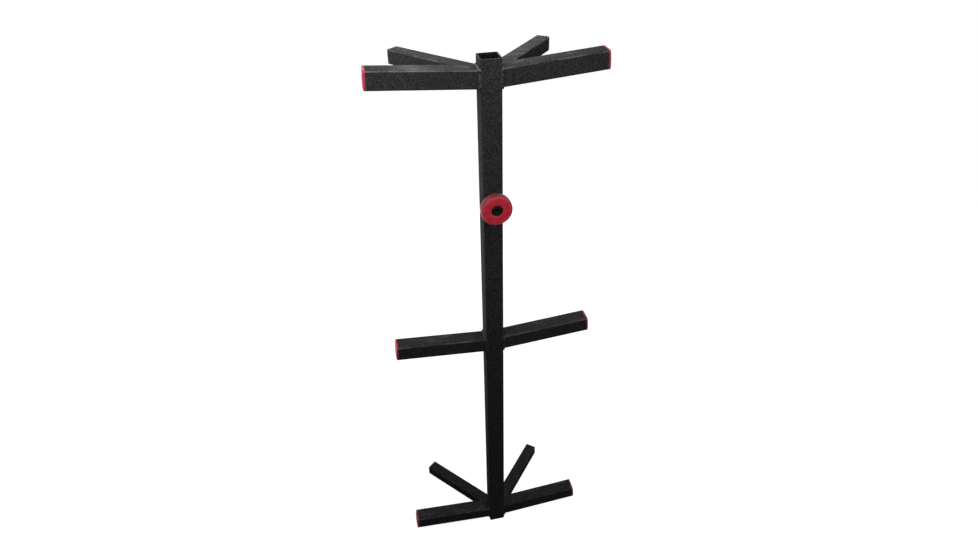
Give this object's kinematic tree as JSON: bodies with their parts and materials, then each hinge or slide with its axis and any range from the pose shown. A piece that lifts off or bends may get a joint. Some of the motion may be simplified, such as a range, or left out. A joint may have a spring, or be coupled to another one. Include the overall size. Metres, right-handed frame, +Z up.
{
  "type": "tree climbing stick",
  "caption": "Climbing stick section: a square post with tilted welded step pairs and plastic end caps, vee stand-offs that bear on the trunk, and a strap button.",
  "frame": {"origin": "centre of the post's lower end, in the plane of its cut", "axes": "+Z up the post, +Y from the post towards the trunk, +X to the right of a climber who faces the trunk; the strap button is on the -Y side"},
  "size_m": [0.2824, 0.1523, 0.8128],
  "materials": {
    "powder_coat": "wrinkle-textured charcoal powder coat on steel tube and welds",
    "cap_plastic": "satin moulded red plastic",
    "button_plastic": "satin moulded red plastic, slightly scuffed",
    "black_steel": "black oxide",
    "zinc_plate": "bright zinc plate",
    "nylon": "natural nylon"
  },
  "bodies": {
    "stick": {"post_tube": "powder_coat", "step_top_left": "powder_coat", "step_top_right": "powder_coat", "step_middle_left": "powder_coat", "step_middle_right": "powder_coat", "step_bottom_left": "powder_coat", "step_bottom_right": "powder_coat", "end_cap_top_left": "cap_plastic", "end_cap_top_right": "cap_plastic", "end_cap_middle_left": "cap_plastic", "end_cap_middle_right": "cap_plastic", "end_cap_bottom_left": "cap_plastic", "end_cap_bottom_right": "cap_plastic", "standoff_top_left": "powder_coat", "standoff_top_right": "powder_coat", "standoff_bottom_left": "powder_coat", "standoff_bottom_right": "powder_coat", "weld_step_top_left": "powder_coat", "weld_step_top_right": "powder_coat", "weld_step_middle_left": "powder_coat", "weld_step_middle_right": "powder_coat", "weld_step_bottom_left": "powder_coat", "weld_step_bottom_right": "powder_coat", "weld_standoff_top_left": "powder_coat", "weld_standoff_top_right": "powder_coat", "weld_standoff_bottom_left": "powder_coat", "weld_standoff_bottom_right": "powder_coat", "weld_vee_top": "powder_coat", "weld_vee_bottom": "powder_coat", "button_sleeve": "zinc_plate", "button_bolt": "black_steel", "front_washer": "zinc_plate", "back_washer": "zinc_plate", "lock_nut": "zinc_plate", "nut_ring": "nylon"},
    "button": {"strap_button": "button_plastic"}
  },
  "joints": [
    {"name": "button_turn", "type": "hinge", "parent": "stick", "child": "button", "pos_m": [0, -0.0227, 0.635], "axis": [0, -1, 0], "continuous": true}
  ]
}
